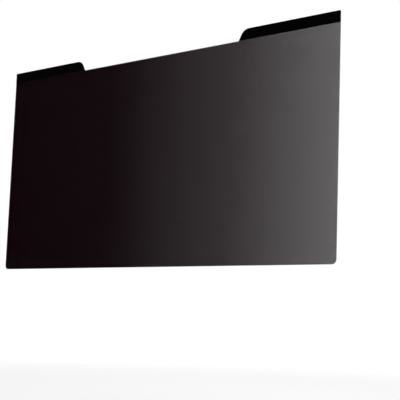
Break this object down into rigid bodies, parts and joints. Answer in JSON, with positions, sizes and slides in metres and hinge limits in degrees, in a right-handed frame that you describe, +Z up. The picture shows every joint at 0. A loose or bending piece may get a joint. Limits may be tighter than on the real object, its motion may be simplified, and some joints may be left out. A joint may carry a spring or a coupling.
{
  "type": "monitor privacy filter",
  "caption": "Thin dark see-through privacy sheet for a wide monitor, with black magnetic hanging tabs standing on its upper corners.",
  "frame": {"origin": "middle of the whole part's box: half way across the film, half way up film and tabs, half way through the stack of cover, film and magnet", "axes": "+X to the right of a person looking at the screen, +Y away from that person towards the monitor, +Z up"},
  "size_m": [0.531, 0.0018, 0.299],
  "materials": {
    "privacy_film": "anti-glare see-through film, clear from the front and dark from the side",
    "tab_plastic": "fine matte black",
    "magnet_rubber": "dull rolled magnet sheet"
  },
  "bodies": {
    "root": {"privacy_film": "privacy_film", "left_tab_cover": "tab_plastic", "right_tab_cover": "tab_plastic", "left_magnet_strip": "magnet_rubber", "right_magnet_strip": "magnet_rubber"}
  },
  "joints": []
}
